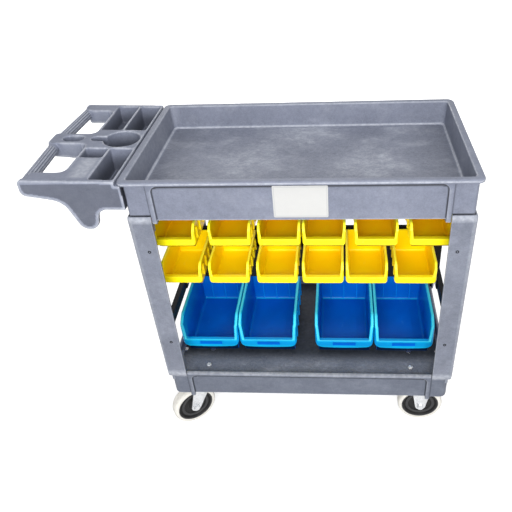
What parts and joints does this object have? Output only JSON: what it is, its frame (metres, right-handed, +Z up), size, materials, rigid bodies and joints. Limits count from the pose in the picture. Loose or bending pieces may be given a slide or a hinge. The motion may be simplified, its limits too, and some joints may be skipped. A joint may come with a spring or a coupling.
{
  "type": "workshop trolley",
  "caption": "Workshop trolley with a deep top tray, moulded push handle, lower shelf, rack of small hanging open-front bins, large standing bins, and swivel and fixed casters.",
  "frame": {"origin": "on the ground under the middle of the trolley's overall box", "axes": "+X along the trolley away from the push handle, -Y towards the open fronts of the bins, +Z up"},
  "size_m": [0.991, 0.43, 0.8462],
  "materials": {
    "grey_plastic": "satin moulded plastic, scuffed",
    "yellow_plastic": "glossy moulded plastic",
    "blue_plastic": "glossy moulded plastic",
    "black_steel": "satin black coating",
    "zinc": "bright zinc plate",
    "wheel_core": "satin black plastic",
    "tyre": "cream thermoplastic rubber",
    "label": "bare white plate"
  },
  "bodies": {
    "frame": {"top_tray": "grey_plastic", "label_plate": "label", "lower_shelf": "grey_plastic", "shelf_rim": "grey_plastic", "handle": "grey_plastic", "handle_bolts": "zinc", "post_front_left": "grey_plastic", "post_front_right": "grey_plastic", "post_rear_left": "grey_plastic", "post_rear_right": "grey_plastic", "post_bolts": "zinc", "crossbar_lower_left": "black_steel", "crossbar_lower_right": "black_steel", "crossbar_upper_left": "black_steel", "crossbar_upper_right": "black_steel", "crossbar_screws": "black_steel", "upright_left": "black_steel", "upright_right": "black_steel", "rail_upper": "black_steel", "rail_lower": "black_steel", "rack_bolts": "zinc", "fixed_fork_front": "zinc", "fixed_fork_rear": "zinc", "swivel_plate_front": "zinc", "swivel_plate_rear": "zinc", "swivel_race_front": "zinc", "swivel_race_rear": "zinc", "kingpin_front": "zinc", "kingpin_rear": "zinc", "axle_front_right": "zinc", "axle_rear_right": "zinc", "caster_bolts": "zinc"},
    "upper_bin_1": {"upper_bin_1": "yellow_plastic"},
    "upper_bin_2": {"upper_bin_2": "yellow_plastic"},
    "upper_bin_3": {"upper_bin_3": "yellow_plastic"},
    "upper_bin_4": {"upper_bin_4": "yellow_plastic"},
    "upper_bin_5": {"upper_bin_5": "yellow_plastic"},
    "upper_bin_6": {"upper_bin_6": "yellow_plastic"},
    "lower_bin_1": {"lower_bin_1": "yellow_plastic"},
    "lower_bin_2": {"lower_bin_2": "yellow_plastic"},
    "lower_bin_3": {"lower_bin_3": "yellow_plastic"},
    "lower_bin_4": {"lower_bin_4": "yellow_plastic"},
    "lower_bin_5": {"lower_bin_5": "yellow_plastic"},
    "lower_bin_6": {"lower_bin_6": "yellow_plastic"},
    "large_bin_1": {"large_bin_1": "blue_plastic"},
    "large_bin_2": {"large_bin_2": "blue_plastic"},
    "large_bin_3": {"large_bin_3": "blue_plastic"},
    "large_bin_4": {"large_bin_4": "blue_plastic"},
    "swivel_front": {"swivel_fork_front": "zinc", "axle_front_left": "zinc"},
    "wheel_front_left": {"wheel_front_left": "wheel_core", "tyre_front_left": "tyre"},
    "wheel_front_right": {"wheel_front_right": "wheel_core", "tyre_front_right": "tyre"},
    "swivel_rear": {"swivel_fork_rear": "zinc", "axle_rear_left": "zinc"},
    "wheel_rear_left": {"wheel_rear_left": "wheel_core", "tyre_rear_left": "tyre"},
    "wheel_rear_right": {"wheel_rear_right": "wheel_core", "tyre_rear_right": "tyre"}
  },
  "joints": [
    {"name": "upper_bin_1_lift", "type": "slide", "parent": "frame", "child": "upper_bin_1", "axis": [0, 0, 1], "range_m": [0, 0.02]},
    {"name": "upper_bin_2_lift", "type": "slide", "parent": "frame", "child": "upper_bin_2", "axis": [0, 0, 1], "range_m": [0, 0.02]},
    {"name": "upper_bin_3_lift", "type": "slide", "parent": "frame", "child": "upper_bin_3", "axis": [0, 0, 1], "range_m": [0, 0.02]},
    {"name": "upper_bin_4_lift", "type": "slide", "parent": "frame", "child": "upper_bin_4", "axis": [0, 0, 1], "range_m": [0, 0.02]},
    {"name": "upper_bin_5_lift", "type": "slide", "parent": "frame", "child": "upper_bin_5", "axis": [0, 0, 1], "range_m": [0, 0.02]},
    {"name": "upper_bin_6_lift", "type": "slide", "parent": "frame", "child": "upper_bin_6", "axis": [0, 0, 1], "range_m": [0, 0.02]},
    {"name": "lower_bin_1_lift", "type": "slide", "parent": "frame", "child": "lower_bin_1", "axis": [0, 0, 1], "range_m": [0, 0.02]},
    {"name": "lower_bin_2_lift", "type": "slide", "parent": "frame", "child": "lower_bin_2", "axis": [0, 0, 1], "range_m": [0, 0.02]},
    {"name": "lower_bin_3_lift", "type": "slide", "parent": "frame", "child": "lower_bin_3", "axis": [0, 0, 1], "range_m": [0, 0.02]},
    {"name": "lower_bin_4_lift", "type": "slide", "parent": "frame", "child": "lower_bin_4", "axis": [0, 0, 1], "range_m": [0, 0.02]},
    {"name": "lower_bin_5_lift", "type": "slide", "parent": "frame", "child": "lower_bin_5", "axis": [0, 0, 1], "range_m": [0, 0.02]},
    {"name": "lower_bin_6_lift", "type": "slide", "parent": "frame", "child": "lower_bin_6", "axis": [0, 0, 1], "range_m": [0, 0.02]},
    {"name": "large_bin_1_lift", "type": "slide", "parent": "frame", "child": "large_bin_1", "axis": [0, 0, 1], "range_m": [0, 0.04]},
    {"name": "large_bin_2_lift", "type": "slide", "parent": "frame", "child": "large_bin_2", "axis": [0, 0, 1], "range_m": [0, 0.04]},
    {"name": "large_bin_3_lift", "type": "slide", "parent": "frame", "child": "large_bin_3", "axis": [0, 0, 1], "range_m": [0, 0.04]},
    {"name": "large_bin_4_lift", "type": "slide", "parent": "frame", "child": "large_bin_4", "axis": [0, 0, 1], "range_m": [0, 0.04]},
    {"name": "swivel_front_turn", "type": "hinge", "parent": "frame", "child": "swivel_front", "pos_m": [-0.19996, -0.127, 0.15], "axis": [0, 0, 1], "continuous": true},
    {"name": "wheel_front_left_roll", "type": "hinge", "parent": "swivel_front", "child": "wheel_front_left", "pos_m": [-0.23146, -0.14825, 0.0625], "axis": [-0.5592, 0.829, 0], "continuous": true},
    {"name": "wheel_front_right_roll", "type": "hinge", "parent": "frame", "child": "wheel_front_right", "pos_m": [0.42604, -0.127, 0.0625], "axis": [0, 1, 0], "continuous": true},
    {"name": "swivel_rear_turn", "type": "hinge", "parent": "frame", "child": "swivel_rear", "pos_m": [-0.19996, 0.127, 0.15], "axis": [0, 0, 1], "continuous": true},
    {"name": "wheel_rear_left_roll", "type": "hinge", "parent": "swivel_rear", "child": "wheel_rear_left", "pos_m": [-0.23713, 0.1191, 0.0625], "axis": [-0.2079, 0.9781, 0], "continuous": true},
    {"name": "wheel_rear_right_roll", "type": "hinge", "parent": "frame", "child": "wheel_rear_right", "pos_m": [0.42604, 0.127, 0.0625], "axis": [0, 1, 0], "continuous": true}
  ]
}
